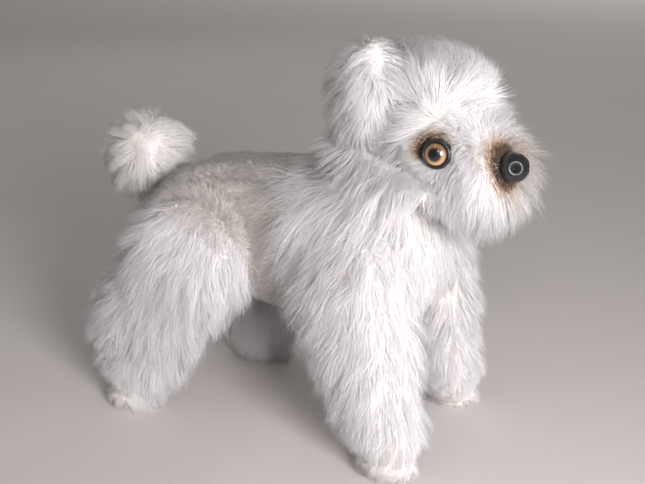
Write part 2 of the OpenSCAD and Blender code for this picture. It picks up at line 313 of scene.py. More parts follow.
def applied(mesh, *modifiers):
    """The mesh after these modifiers, given as (type, settings)."""
    worker = bpy.data.objects.new("worker", mesh)
    bpy.context.scene.collection.objects.link(worker)
    for kind, settings in modifiers:
        modifier = worker.modifiers.new(kind.lower(), kind)
        for key, value in settings.items():
            setattr(modifier, key, value)
    dg = bpy.context.evaluated_depsgraph_get()
    result = bpy.data.meshes.new_from_object(worker.evaluated_get(dg))
    bpy.data.objects.remove(worker)
    return result


def vertex_normals(mesh):
    n = np.empty(len(mesh.vertices) * 3, np.float32)
    mesh.vertex_normals.foreach_get("vector", n)
    return n.reshape(-1, 3).astype(float)


PUFF_FRAMES = 12


def puffed(mesh, cap):
    """Cloth under pressure: the skin fills out like a stuffed one, by at most cap millimetres."""
    before = points_of(mesh)
    worker = bpy.data.objects.new("worker", mesh)
    bpy.context.scene.collection.objects.link(worker)
    cloth = worker.modifiers.new("cloth", "CLOTH")
    cloth.settings.use_pressure = True
    cloth.settings.uniform_pressure_force = 3
    cloth.settings.mass = 0.15
    cloth.settings.tension_stiffness = 25
    cloth.settings.effector_weights.gravity = 0
    scene = bpy.context.scene
    for number in range(1, PUFF_FRAMES + 1):
        scene.frame_set(number)
    dg = bpy.context.evaluated_depsgraph_get()
    result = bpy.data.meshes.new_from_object(worker.evaluated_get(dg))
    bpy.data.objects.remove(worker)
    scene.frame_set(1)
    move = points_of(result) - before
    reach = np.linalg.norm(move, axis=1, keepdims=True)
    set_points(result, before + move * np.minimum(1, cap / np.maximum(reach, 1e-9)))
    return result


def no_inset(p, n):
    return np.zeros(len(p))


def soft_skin(name, body, nodes, voxel, cap=0.0, hull=True, rounds=6, grooves=(), inset=no_inset,
              shape=None, filling=None):
    """A stuffed skin over CAD nodes: remeshed, rounded, puffed, with its seams drawn in.

    The CAD solids are as big as the pile makes the dog, so inset says how deep in them the knitted
    backing lies. filling names the CAD node of the stuffing, which gets a form of its own inside."""
    mesh = hull_mesh(name, node_points(*nodes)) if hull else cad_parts[nodes[0]].data.copy()
    mesh = applied(
        mesh,
        ("REMESH", dict(mode="VOXEL", voxel_size=voxel * MM)),
        ("SMOOTH", dict(factor=0.6, iterations=rounds)),
    )
    if cap:
        mesh = puffed(mesh, cap)
    mesh = applied(mesh, ("SUBSURF", dict(levels=1, render_levels=1)))
    p, n = points_of(mesh), vertex_normals(mesh)
    set_points(mesh, p - n * inset(p, n)[:, None])
    if shape:
        set_points(mesh, shape(points_of(mesh)))
    if filling:
        fill_with_fibre(mesh, filling, body)
    for seam in grooves:
        p = points_of(mesh)
        depth = GROOVE_DEPTH * np.exp(-((seam(p) / GROOVE_WIDTH) ** 2))
        set_points(mesh, p - vertex_normals(mesh) * depth[:, None])
    mesh.name = name
    mesh.polygons.foreach_set("use_smooth", [True] * len(mesh.polygons))
    piece = new_piece(name, mesh, body, "backing", nodes)
    return piece


def fill_with_fibre(skin, node, body):
    """The stuffing: the skin's own form, a little smaller and lumpy."""
    mesh = skin.copy()
    mesh.name = f"{node}_fibre"
    p, n = points_of(mesh), vertex_normals(mesh)
    lumps = np.sin(p * LUMPS).sum(1) / 3
    set_points(mesh, p - n * (FIBRE_INSET + 0.4 * lumps)[:, None])
    mesh.polygons.foreach_set("use_smooth", [True] * len(mesh.polygons))
    piece = new_piece(mesh.name, mesh, body, "stuffing", [node])


GROOVE_DEPTH = 0.8
GROOVE_WIDTH = 1.1
FIBRE_INSET = 1.8
LUMPS = (0.55, 0.7, 0.6)


# ---------------------------------------------------------------- fur

STRAND_SIDES = 3
LONG_STEPS, MIDDLE_STEPS, SHORT_STEPS = 4, 3, 2
PIECE_STRANDS = {LONG_STEPS: 9400, MIDDLE_STEPS: 13200, SHORT_STEPS: 22000}
STRAND_TAPER = {LONG_STEPS: (0.8, 1.0, 0.9, 0.6), MIDDLE_STEPS: (0.9, 1.0, 0.7), SHORT_STEPS: (1.0, 0.75)}
OWN_WAY = 0.65  # how far each strand leaves its tuft's habit
SKIN_SHADING = 1.7  # how much of the skin's own normal is in a strand's shading
draw = np.random.default_rng(SEED)


def surface(piece):
    """A skin's triangles: (corners, corner normals, areas), in millimetres."""
    mesh = piece.data
    mesh.calc_loop_triangles()
    tri = np.empty(len(mesh.loop_triangles) * 3, np.int32)
    mesh.loop_triangles.foreach_get("vertices", tri)
    tri = tri.reshape(-1, 3)
    corners = points_of(mesh)[tri]
    edge, other = corners[:, 1] - corners[:, 0], corners[:, 2] - corners[:, 0]
    area = 0.5 * np.linalg.norm(np.cross(edge, other), axis=1)
    return corners, vertex_normals(mesh)[tri], area


def roots_on(piece, coat, per_mm2):
    """Random roots on a skin, as dense as the coat says: (points, normals)."""
    corners, normals, area = surface(piece)
    middle, facing = corners.mean(1), unit(normals.mean(1))
    weight = area * np.broadcast_to(coat(middle, facing)["density"], area.shape)
    count = int(weight.sum() * per_mm2)
    pick = draw.choice(len(area), count, p=weight / weight.sum())
    u, v = draw.random((2, count, 1))
    over = u + v > 1
    u, v = np.where(over, 1 - u, u), np.where(over, 1 - v, v)
    share = np.concatenate([1 - u - v, u, v], 1)[:, :, None]
    return (corners[pick] * share).sum(1), unit((normals[pick] * share).sum(1))


def per_strand(coat, root, normal):
    """The coat's values at each root, as columns."""
    count = len(root)
    values = dict(lift=0.5, droop=0.3, wave=0.07, clump=0.35, tone=PINK_WHITE, spread=0.3)
    values.update(coat(root, normal))
    values.pop("density")
    comb = np.broadcast_to(np.asarray(values.pop("comb"), float), (count, 3)).copy()
    return comb, {k: np.broadcast_to(np.asarray(v, float).reshape(-1, 1), (count, 1)).copy()
                  for k, v in values.items()}


def strand_lines(root, normal, comb, value, tuft, steps):
    """Each strand's line from root to tip, (strands, steps + 1, 3). Strands of a tuft sway alike."""
    along = unit(comb - dot(comb, normal) * normal)
    side = np.cross(along, normal)
    along = unit(along + side * tuft["turn"] * value["spread"])
    side = np.cross(along, normal)
    line = [root]
    for step in range(steps):
        t = (step + 0.5) / steps
        way = unit(along + normal * value["lift"] * (1 + 0.5 * tuft["lift"]) * (1.25 - t))
        way = way + DOWN * value["droop"] * t
        inward = np.minimum(dot(way, normal) + 0.12 * t, 0)
        way = unit(way - inward * normal)
        line.append(line[-1] + way * value["length"] / steps)
    line = np.stack(line, 1)
    t = np.linspace(0, 1, steps + 1)[None, :, None]
    sway = np.sin(tuft["phase"][:, None] + 4.2 * t) - np.sin(tuft["phase"][:, None])
    return line + side[:, None] * sway * (value["wave"] * value["length"])[:, None] * t


def tubes(name, line, width, tone, shading, steps):
    """One mesh of tapered strands. The map's columns hold tone, and its height runs root to tip."""
    count = len(line)
    way = unit(np.gradient(line, axis=1))
    across = unit(np.cross(way, unit(draw.normal(size=(count, 1, 3)))))
    other = np.cross(way, across)
    rings, facing = [], []
    for ring, taper in enumerate(STRAND_TAPER[steps]):
        for corner in range(STRAND_SIDES):
            turn = 2 * math.pi * corner / STRAND_SIDES
            out = math.cos(turn) * across[:, ring] + math.sin(turn) * other[:, ring]
            rings.append(line[:, ring] + out * width * taper / 2)
            facing.append(out + shading)
    points = np.stack([*rings, line[:, steps]], 1)
    facing = unit(np.stack([*facing, way[:, steps] + shading], 1))
    each = points.shape[1]
    quads = [(r * 3 + c, r * 3 + (c + 1) % 3, r * 3 + (c + 1) % 3 + 3, r * 3 + c + 3)
             for r in range(steps - 1) for c in range(3)]
    last = (steps - 1) * 3
    caps = [(last + c, last + (c + 1) % 3, each - 1) for c in range(3)]
    pattern = np.array([i for face in quads + caps for i in face], np.int32)
    sizes = np.array([4] * len(quads) + [3] * len(caps), np.int32)
    loops = (np.arange(count, dtype=np.int32)[:, None] * each + pattern).ravel()
    totals = np.tile(sizes, count)
    mesh = bpy.data.meshes.new(name)
    mesh.vertices.add(count * each)
    set_points(mesh, points.reshape(-1, 3))
    mesh.loops.add(len(loops))
    mesh.loops.foreach_set("vertex_index", loops)
    mesh.polygons.add(len(totals))
    starts = np.concatenate([[0], np.cumsum(totals)[:-1]]).astype(np.int32)
    mesh.polygons.foreach_set("loop_start", starts)
    mesh.polygons.foreach_set("use_smooth", np.ones(len(totals), bool))
    column = (np.clip(tone * TONE_COLUMNS, 0, TONE_COLUMNS - 1).astype(int) + 0.5) / TONE_COLUMNS
    corner_u = np.array([(-0.3, 0, 0.3)[i % 3] if i < each - 1 else 0 for i in range(each)]) / TONE_COLUMNS
    corner_v = np.array([i // 3 / steps for i in range(each - 1)] + [1.0]) * 0.98 + 0.01
    uv = np.stack([column.reshape(-1, 1) + corner_u, np.broadcast_to(corner_v, (count, each))], -1)
    layer = mesh.uv_layers.new(name=STRAND_UV)
    layer.data.foreach_set("uv", uv.reshape(-1, 2)[loops].astype(np.float32).ravel())
    mesh.update(calc_edges=True)
    mesh.normals_split_custom_set_from_vertices(facing.reshape(-1, 3))
    return mesh


def grow(name, body, skin, coat, per_mm2, width, tuft_mm2=12.0, steps=LONG_STEPS, stray=0.05):
    """Fur on a skin. The strands lean together in tufts, and a few stray."""
    root, normal = roots_on(skin, coat, per_mm2)
    count = len(root)
    comb, value = per_strand(coat, root, normal)
    density = count / max(surface(skin)[2].sum(), 1)
    tufts = max(1, int(count / max(density * tuft_mm2, 2)))
    tree = kdtree.KDTree(tufts)
    for i in range(tufts):
        tree.insert(root[i], i)
    tree.balance()
    home = np.array([tree.find(p)[1] for p in root])
    habit = dict(
        turn=draw.normal(size=(tufts, 1)),
        lift=draw.uniform(-1, 1, (tufts, 1)),
        phase=draw.uniform(0, 2 * math.pi, (tufts, 1)),
    )
    reach = draw.uniform(0.85, 1.12, (tufts, 1))
    tuft = {k: v[home] for k, v in habit.items()}
    value["length"] *= reach[home] * draw.uniform(0.78, 1.08, (count, 1))
    own = {k: v + draw.normal(size=(count, 1)) * OWN_WAY for k, v in tuft.items()}
    strays = draw.random((count, 1)) < stray
    own["turn"] = np.where(strays, draw.normal(size=(count, 1)) * 2.5, own["turn"])
    own["lift"] = np.where(strays, 1.2, own["lift"])
    line = strand_lines(root, normal, comb, value, own, steps)
    head = slice(0, tufts)
    shared = {k: v[head] for k, v in value.items()}
    middle = strand_lines(root[head], normal[head], comb[head], shared, habit, steps)[home]
    t = np.linspace(0, 1, steps + 1)[None, :, None]
    pull = (value["clump"] * ~strays)[:, None] * t**1.3
    scatter = draw.normal(size=(count, 1, 3)) * 0.35 * t
    line = line + (middle + scatter - line) * pull
    line[:, :, 2] = np.maximum(line[:, :, 2], 0.4)
    tone = np.clip(value["tone"] + draw.normal(size=(count, 1)) * 0.03, 0, 1)
    wide = width * draw.uniform(0.7, 1.3, (count, 1))
    batch = PIECE_STRANDS[steps]
    order = draw.permutation(count)
    parts = max(1, math.ceil(count / batch))
    for number, chosen in enumerate(np.array_split(order, parts)):
        label = f"{name}_{number + 1}" if parts > 1 else name
        mesh = tubes(label, line[chosen], wide[chosen], tone[chosen], SKIN_SHADING * normal[chosen], steps)
        new_piece(label, mesh, body, "fur")
    strand_count[steps] += count


strand_count = {LONG_STEPS: 0, MIDDLE_STEPS: 0, SHORT_STEPS: 0}


# ---------------------------------------------------------------- skins

NECK = np.array([53.0, 0.0, 122.0])
SHOULDER = np.array([40.0, 84.0])
HIP = np.array([-43.0, 84.0])
CHEST_SEAM_X = 12
HEAD_TURN = 17
NECK_AXIS = Vector((math.sin(math.radians(20)), 0, math.cos(math.radians(20))))
NOSE_AT = np.array([105.0, 0.0, 136.0])
NOSE_R = 6.3
EYE_AT = {side: np.array([82.5, sign * 19.8, 139.1]) for side, sign in SIDES.items()}
EYE_TURN = 66
EYE_RIM_R = 6.1
POM_AT = np.array([-93.3, 0.0, 116.8])
CROWN_HALF = 8
GUSSET_HALF = 13
LEG_FACE_Y = 27.5
LEG_TOP = {"fore": SHOULDER, "hind": HIP}
LEG_UP = {"fore": np.array([-0.31, 0.95]), "hind": np.array([0.43, 0.90])}


def swivel(v, degrees):
    return v @ np.array(Matrix.Rotation(math.radians(degrees), 3, NECK_AXIS)).T


def head_as_turned(p):
    """Places on a head that looks straight ahead, moved to where its swivel turns them."""
    return NECK + swivel(p - NECK, -HEAD_TURN)


def head_looking_ahead(p):
    return NECK + swivel(p - NECK, HEAD_TURN)


def spine_seam(p):
    return np.where(p[:, 2] > 90, p[:, 1], 99)


def chest_seam(p):
    return p[:, 0] - CHEST_SEAM_X


def gusset_seam(p):
    return np.where(p[:, 2] < 70, np.abs(p[:, 1]) - GUSSET_HALF, 99)


def crown_seam(p):
    p = head_looking_ahead(p)
    return np.where(p[:, 0] < 82, np.abs(p[:, 1]) - CROWN_HALF, 99)


def past_cheek_seam(p):
    """Distance ahead of the seam from behind the eye down to the throat, on a head that looks ahead."""
    line_x = 68 + 0.5 * (136 - p[:, 2])
    return np.where((p[:, 2] < 140) & (np.abs(p[:, 1]) > 8), p[:, 0] - line_x, 99)


def cheek_seam(p):
    return past_cheek_seam(head_looking_ahead(p))


def torso_inset(p, n):
    """Deeper under the back's velvet and the chest's pile than where the legs turn on the sides."""
    return np.where(p[:, 0] > CHEST_SEAM_X, 3.5, 2.5) * rise(0.95, 0.7, np.abs(n[:, 1]))


def leg_inset(p, n):
    """Nothing on the face that turns on the torso or under the foot, and little on the foot."""
    y, z = np.abs(p[:, 1]), p[:, 2]
    leg = 8.0 - 3.5 * rise(34, 14, z)
    return leg * rise(LEG_FACE_Y, 34, y) * rise(-0.9, -0.4, n[:, 2])


def head_inset(p, n):
    """Deep under the long cheeks, shallow on the forehead and muzzle."""
    return 1.0 + 3.5 * rise(72, 58, head_looking_ahead(p)[:, 0]) * rise(-0.8, -0.4, n[:, 2])


def even_inset(depth):
    return lambda p, n: np.full(len(p), float(depth))


def thinned_top(kind):
    """Legs thin out towards the rim round their joint, so that they merge with the body."""
    def shape(p):
        up = (p[:, [0, 2]] - LEG_TOP[kind]) @ LEG_UP[kind]
        thin = 1 - 0.8 * rise(-6, 25, up)
        y = np.abs(p[:, 1])
        moved = p.copy()
        moved[:, 1] = np.sign(p[:, 1]) * np.where(y > LEG_FACE_Y, LEG_FACE_Y + (y - LEG_FACE_Y) * thin, y)
        return moved
    return shape


LEGS = [(f"{kind}leg", side) for kind in ("fore", "hind") for side in SIDES]

torso_skin = soft_skin(
    "torso_skin", "torso", ["chest_panel", "back_panel_left", "back_panel_right", "belly_gusset"],
    voxel=3.2, cap=1.2, grooves=[spine_seam, chest_seam, gusset_seam], inset=torso_inset,
    filling="body_stuffing")
head_skin = soft_skin(
    "head_skin", "head", ["head_side_left", "head_side_right", "head_gusset", "muzzle"],
    voxel=2.6, cap=0.8, grooves=[crown_seam, cheek_seam], inset=head_inset, filling="head_stuffing")
topknot_skin = soft_skin("topknot_skin", "head", ["topknot"], voxel=2.6, inset=even_inset(2.5))
ruff_skin = soft_skin("neck_ruff_skin", "head", ["neck_ruff"], voxel=2.4, inset=even_inset(3))
ear_skins = {s: soft_skin(f"ear_skin_{s}", "head", [f"ear_{s}"], voxel=1.6, rounds=4,
                          inset=even_inset(1.0)) for s in SIDES}
leg_skins = {
    (kind, side): soft_skin(f"{kind}_fabric_{side}", f"{kind}_{side}", [f"{kind}_skin_{side}"],
                            voxel=3.0, cap=1.0, inset=leg_inset, shape=thinned_top(kind[:4]),
                            filling=f"{kind}_stuffing_{side}")
    for kind, side in LEGS
}
pom_skin = soft_skin("tail_pom_skin", "tail", ["tail_pom"], voxel=2.0, inset=even_inset(2))
tail_skin_piece = soft_skin("tail_stem_skin", "tail", ["tail_skin"], voxel=0.9, hull=False, rounds=3)


# ---------------------------------------------------------------- coats


def on_head(coat):
    """A coat worked out on a head that looks straight ahead, for the skins of the turned head."""
    def turned(p, n):
        values = coat(head_looking_ahead(p), swivel(n, HEAD_TURN))
        values["comb"] = swivel(values["comb"], -HEAD_TURN)
        return values
    return turned


def columns(*values):
    """Numbers and arrays as the columns of one array of vectors."""
    return np.stack(np.broadcast_arrays(*values), -1).astype(float)


def coat_of_chest(p, n):
    """Long pile on the front of the torso, creamier and shorter in the middle of the chest."""
    x, y, z = p.T
    flank = rise(8, 22, np.abs(y))
    behind = rise(62, 48, x)
    under = rise(68, 58, z)
    covered = (np.hypot(x - SHOULDER[0], z - SHOULDER[1]) < 20) & (np.abs(y) > 20)
    side = np.sign(y) * flank
    return dict(
        density=(x > CHEST_SEAM_X + 0.6) * np.where(covered, 0.15, 1.0),
        length=np.where(covered, 3, 11 + 12 * behind * rise(84, 98, z) + 6 * flank - 5 * under),
        comb=columns(-0.45 * np.maximum(flank, behind), 0.45 * side, -1),
        lift=0.45 + 0.25 * flank,
        droop=0.4,
        tone=WARM_WHITE + (PINK_WHITE - WARM_WHITE) * flank,
    )


def coat_of_back(p, n):
    """Short velvet pile behind the chest seam."""
    x, y, _ = p.T
    to_hip = HIP - p[:, [0, 2]]
    reach = np.linalg.norm(to_hip, axis=1)
    covered = (reach < 22) & (np.abs(y) > 20)
    by_thigh = rise(34, 27, reach) * rise(18, 24, np.abs(y))
    rump = rise(-55, -75, x)
    return dict(
        density=(x <= CHEST_SEAM_X + 0.6) * np.where(covered, 0.1, 1.0),
        length=np.where(covered, 2, 4.0 + 2.5 * rump + 3 * by_thigh),
        comb=columns(-1, 0, -0.6) + 3 * by_thigh[:, None] * columns(to_hip[:, 0], 0, to_hip[:, 1]) / 25,
        lift=1.0 + by_thigh,
        droop=0.1,
        wave=0,
        spread=0.12,
        clump=0.08,
        # the velvet tone is the pile's cream-grey with painted shade in it, for the shade under the mane
        tone=SHADED_VELVET,
    )


def coat_of_ruff(p, n):
    """The mane round the neck, which falls back and out over the shoulders."""
    x, y, z = p.T
    seam = past_cheek_seam(p)
    front = np.where(np.abs(seam) < 90, rise(-6, 3, seam), rise(66, 78, x))
    out = rise(10, 28, np.abs(y)) * (1 - front)
    nape = rise(44, 32, x)
    high = rise(122, 134, z) * (1 - front)
    return dict(
        density=(n[:, 2] > -0.35 - 0.5 * front) * 1.0,
        length=33 - 24 * front - 9 * np.maximum(nape, high),
        comb=columns((-0.45 + 0.35 * high) * (1 - front), (0.15 + 0.4 * out * (1 - high)) * np.sign(y), -1),
        lift=0.3 - 0.2 * np.maximum(nape, high),
        droop=0.35 + 0.9 * np.maximum(nape, high),
        clump=0.3,
        spread=0.16,
        tone=PINK_WHITE - 0.12 * front,
    )


def marking(p):
    """How far each root is from the nose and from the nearer eye, past their edges."""
    to_nose = np.linalg.norm(p - NOSE_AT, axis=1) - NOSE_R
    to_eye = np.min([np.linalg.norm(p - at, axis=1) for at in EYE_AT.values()], axis=0) - EYE_RIM_R
    return to_nose, to_eye


def marked_tone(p, plain):
    """The airbrushed brown round the nose and eyes, laid over a plain tone."""
    to_nose, to_eye = marking(p)
    jitter = draw.normal(size=len(p)) * 0.35
    steps = [BLACK_BROWN, DARK_BROWN, BROWN, TAN, CREAM, COOL_WHITE]
    way = unit(p - NOSE_AT)
    wider = 1 + 0.45 * rise(-0.2, 0.8, way[:, 2] - 0.6 * way[:, 0])
    nose = np.interp(to_nose / wider + jitter, [0.5, 1.8, 2.8, 4.0, 5.6, 7.4], steps)
    side = unit(p - columns(EYE_AT["left"][0], EYE_AT["left"][1] * np.sign(p[:, 1]), EYE_AT["left"][2]))
    over = rise(-0.4, 0.5, side[:, 2] - 0.6 * side[:, 0])
    eye = np.interp(to_eye + jitter * 0.5 + 4 * (1 - over), [0.2, 1.2, 2.0, 3.0, 4.4, 6], steps)
    return np.minimum(plain, np.minimum(nose, eye))


def past_face_edge(p):
    """How far ahead of the long pile a place on the head lies: the cheek seam, then a line over the brow."""
    seam = past_cheek_seam(p)
    brow = p[:, 0] - (68 + 1.3 * np.maximum(p[:, 2] - 141, 0))
    return np.where(np.abs(seam) < 90, seam, np.where(p[:, 2] < 140, p[:, 0] - 68, brow))


def muzzle_puff(p, n):
    """1 where the muzzle's pile is long, on its sides and under it, and 0 on the bridge and by the nose."""
    to_nose = marking(p)[0]
    return (1 - rise(0.5, 0.88, n[:, 2])) * rise(1.5, 6, to_nose) * rise(75, 86, p[:, 0])


def coat_of_face(p, n):
    """Short pile on the bridge and round the eyes, growing away from the nose."""
    to_nose, to_eye = marking(p)
    puff = muzzle_puff(p, n)
    length = np.minimum(4.2, 2.2 + 0.9 * np.maximum(to_eye, 0))
    edge = rise(4.5, 1.5, np.minimum(to_nose, to_eye))
    on_face = (past_face_edge(p) > 0.3) * (to_eye > -0.6) * (to_nose > -3)
    return dict(
        density=on_face * (1 - 0.6 * puff) * (1 + 2 * edge),
        length=np.minimum(length, 2.4 + 0.9 * np.maximum(to_nose, 0)),
        comb=unit(p - NOSE_AT),
        lift=0.6 - 0.2 * edge,
        droop=0.1,
        wave=0.02,
        clump=0.12,
        spread=0.12,
        tone=marked_tone(p, WARM_WHITE + 0.04),
    )


def coat_of_muzzle(p, n):
    """Puffy pile that stands off the sides of the muzzle, and a little beard under the nose."""
    x, y, z = p.T
    to_nose, to_eye = marking(p)
    puff = muzzle_puff(p, n)
    chin = rise(126, 118, z) * rise(84, 94, x)
    beard = chin * rise(8, 3, np.abs(y)) * rise(90, 96, x)
    length = np.minimum(5 + 11 * puff + 6 * beard + 4 * rise(2, 10, y) * puff,
                        2.5 + 2.6 * np.maximum(to_nose, 0))
    return dict(
        density=puff * (past_face_edge(p) > 0.3) * (to_eye > 1),
        length=np.minimum(length, 2.5 + 1.2 * np.maximum(to_eye, 0)),
        comb=unit(p - NOSE_AT) + columns(0.9, 0, -0.25 - 0.9 * chin),
        lift=2.8 - 1.8 * chin,
        droop=0.35 + 0.3 * chin,
        wave=0.05,
        clump=0.2,
        spread=0.4,
        tone=marked_tone(p, PINK_WHITE),
    )


def brow_springs(p):
    """The point over the nearer eye that the topknot's hair springs from."""
    return columns(78, 14 * np.sign(p[:, 1]), 151)


def coat_of_cheeks(p, n):
    """Long pile behind the cheek seam, over the brow and round the back of the head."""
    x, y, z = p.T
    brow = rise(140, 147, z)
    crest = rise(147, 152, z) * rise(58, 66, x)
    sweep = unit(p - brow_springs(p)) + columns(0.2, 0, 0.1)
    near = rise(10, 3, np.linalg.norm(p - brow_springs(p), axis=1))
    back = columns(-0.65 - 0.5 * brow, 0.15 * np.sign(y), -0.9 + 0.6 * brow)
    return dict(
        density=(past_face_edge(p) < -0.3) * 1.0,
        length=27 - 7 * brow - 6 * rise(60, 74, x) - 2 * crest,
        comb=back + (sweep - back) * crest[:, None],
        lift=0.45 + 0.2 * brow + 0.4 * crest + 1.5 * near,
        droop=0.3,
        clump=0.3,
        spread=0.2,
        tone=PINK_WHITE,
    )


def coat_of_topknot(p, n):
    """A soft cap of hair that sweeps up and out from above the eyes."""
    x, _, z = p.T
    sweep = unit(p - brow_springs(p))
    near = rise(10, 3, np.linalg.norm(p - brow_springs(p), axis=1))
    low = rise(158, 151, z) * rise(-0.1, -0.5, n[:, 2])
    return dict(
        density=(n[:, 2] > -0.8) * 1.0,
        length=17.5 - 3 * low + 4 * rise(66, 52, x),
        comb=sweep + columns(0.3, 0, -0.9 * low),
        lift=1.1 - 0.5 * low + 1.2 * near,
        droop=0.35,
        wave=0.03,
        clump=0.3,
        spread=0.3,
        tone=PINK_WHITE + 0.03,
    )


def coat_of_ear(p, n):
    """Strands that fall from the ear's tip, and fold over it."""
    x, y, z = p.T
    tip = rise(172, 181, z)
    return dict(
        density=np.ones_like(x),
        length=18 - 8 * tip,
        comb=columns(-0.35 + 0.6 * (n[:, 0] > 0), 0.2 * np.sign(y), -1 + 1.2 * tip),
        lift=1.7,
        droop=0.5,
        wave=0.09,
        clump=0.35,
        spread=0.6,
        tone=COOL_WHITE - 0.06,
    )


def across_leg(p, kind):
    """How far ahead of the leg's middle line a place lies, in 20 mm, and no more than 1 either way."""
    up_x, up_z = LEG_UP[kind]
    rel = p[:, [0, 2]] - LEG_TOP[kind]
    return np.clip((rel[:, 0] * up_z - rel[:, 1] * up_x) / 20, -1, 1)


def coat_of_foreleg(sign):
    def coat(p, n):
        x, _, z = p.T
        out = n[:, 1] * sign
        inner = rise(-0.6, -0.9, out) * rise(52, 64, z)
        paw = rise(32, 10, z)
        hem = rise(9, 3, z)
        elbow = rise(28, 8, np.hypot(x - 16, z - 70)) * rise(32, 22, x)
        length = 16 + 3 * rise(40, 70, z) + 5 * elbow - 10.6 * paw
        return dict(
            density=1 - 0.75 * inner,
            length=np.where(inner > 0.5, np.minimum(length, 4), length),
            comb=columns(-0.2 + 0.45 * across_leg(p, "fore") - 0.7 * elbow, 0.3 * sign,
                         -1 + 0.5 * elbow + 0.8 * hem),
            lift=0.75 - 0.25 * paw + 1.2 * hem,
            droop=0.35 - 0.2 * paw,
            tone=PINK_WHITE - 0.10 * paw,
        )
    return coat


def below_velvet(p):
    """How far a place on a thigh lies behind and below the line from under the tail to the knee."""
    return 108 - p[:, 2] - 0.46 * (p[:, 0] + 49)


def coat_of_hindleg(sign):
    def coat(p, n):
        z = p[:, 2]
        inner = rise(-0.6, -0.9, n[:, 1] * sign) * rise(48, 60, z)
        paw = rise(30, 11, z)
        hem = rise(9, 3, z)
        ahead = rise(-0.5, 0.6, across_leg(p, "hind"))
        low = rise(56, 34, z)
        long = rise(-6, 12, below_velvet(p))
        length = 6 + 12 * long - (11.5 - 4.5 * ahead) * paw - 4 * low * (1 - ahead)
        return dict(
            density=(1 - 0.75 * inner) * long,
            length=np.where(inner > 0.5, np.minimum(length, 4), np.maximum(length, 4)),
            comb=columns(-0.35 + 0.7 * across_leg(p, "hind") + 0.8 * paw * ahead, 0.2 * sign, -1 + 0.8 * hem),
            lift=0.7 + 0.3 * (2 * ahead - 1) * low + 1.2 * hem,
            droop=0.35,
            wave=0.05,
            tone=PINK_WHITE - 0.08 * paw - 0.06 * (1 - long),
        )
    return coat


def coat_of_thigh(p, n):
    """The velvet on top of a thigh, above the long pile."""
    covered = (np.abs(p[:, 1]) < LEG_FACE_Y + 0.4) & (np.abs(n[:, 1]) > 0.95)
    from_hip = p[:, [0, 2]] - HIP
    rim = rise(17, 25, np.linalg.norm(from_hip, axis=1))
    return dict(
        density=(below_velvet(p) < 10) * np.where(covered, 0.1, 1.0),
        length=4.3 + 2.7 * rim,
        comb=columns(-1, 0, -0.6) + 1.8 * rim[:, None] * columns(from_hip[:, 0], 0, from_hip[:, 1]) / 25,
        lift=0.9,
        droop=0.1,
        wave=0,
        spread=0.12,
        clump=0.08,
        # the velvet tone is the pile's cream-grey with painted shade in it, for the shade under the mane
        tone=SHADED_VELVET,
    )


def coat_of_pom(p, n):
    # Painted shade: the pom's tone sits below the white coat's, towards cream, for the shade deep in its
    # wispy tufts.
    return dict(density=np.ones(len(p)), length=13.5 + 4 * n[:, 0], comb=n + DOWN * 0.5, lift=2.4, droop=0.45,
                wave=0.12, clump=0.55, spread=0.9, tone=PINK_WHITE - 0.18)


def coat_of_stem(p, n):
    reach = np.linalg.norm(p - POM_AT, axis=1)
    return dict(density=(reach < 21) * 1.0, length=5, comb=unit(POM_AT - p), lift=0.7, tone=CREAM + 0.1)


# Strand widths at their widest, before each strand's own share
FINE = 0.125
SOFT = 0.11
MUZZLE_WIDTH = 0.12
FACE_WIDTH = 0.15
SHORT = 0.2

grow("chest_fur", "torso", torso_skin, coat_of_chest, 2.2, FINE, steps=MIDDLE_STEPS)
grow("back_velvet", "torso", torso_skin, coat_of_back, 5.0, SHORT, steps=SHORT_STEPS, stray=0.02)
grow("ruff_fur", "head", ruff_skin, on_head(coat_of_ruff), 2.6, FINE, tuft_mm2=20, steps=LONG_STEPS)
grow("face_fur", "head", head_skin, on_head(coat_of_face), 7.0, FACE_WIDTH, tuft_mm2=6, steps=SHORT_STEPS)
grow("muzzle_fur", "head", head_skin, on_head(coat_of_muzzle), 5.0, MUZZLE_WIDTH, steps=MIDDLE_STEPS)
grow("cheek_fur", "head", head_skin, on_head(coat_of_cheeks), 2.8, FINE, tuft_mm2=20, steps=LONG_STEPS)
grow("topknot_fur", "head", topknot_skin, on_head(coat_of_topknot), 5.0, SOFT, tuft_mm2=16,
     steps=MIDDLE_STEPS)
for side, skin in ear_skins.items():
    grow(f"ear_fur_{side}", "head", skin, on_head(coat_of_ear), 4.2, SOFT, steps=MIDDLE_STEPS)
for (kind, side), skin in leg_skins.items():
    coat = (coat_of_foreleg if kind == "foreleg" else coat_of_hindleg)(SIDES[side])
    grow(f"{kind}_fur_{side}", f"{kind}_{side}", skin, coat, 2.3, FINE, tuft_mm2=20, steps=MIDDLE_STEPS)
    if kind == "hindleg":
        grow(f"thigh_velvet_{side}", f"{kind}_{side}", skin, coat_of_thigh, 5.0, SHORT,
             steps=SHORT_STEPS, stray=0.02)
grow("pom_fur", "tail", pom_skin, coat_of_pom, 4.2, SOFT, tuft_mm2=28, steps=MIDDLE_STEPS)
grow("tail_stem_fur", "tail", tail_skin_piece, coat_of_stem, 2.5, SHORT, steps=SHORT_STEPS)


# ---------------------------------------------------------------- soles, eyes and nose


def lathe(profile, turns=48):
    """Points and faces of a profile of (radius, height) turned about Z. A zero radius closes it."""
    points, rows = [], []
    for radius, height in profile:
        if radius == 0:
            rows.append([len(points)] * turns)
            points.append((0, 0, height))
            continue
        rows.append([len(points) + i for i in range(turns)])
        points += [(radius * math.cos(2 * math.pi * i / turns),
                    radius * math.sin(2 * math.pi * i / turns), height) for i in range(turns)]
    faces = []
    for low, high in zip(rows, rows[1:]):
        for i in range(turns):
            j = (i + 1) % turns
            ring = list(dict.fromkeys([low[i], low[j], high[j], high[i]]))
            if len(ring) > 2:
                faces.append(ring)
    return np.array(points, float), faces


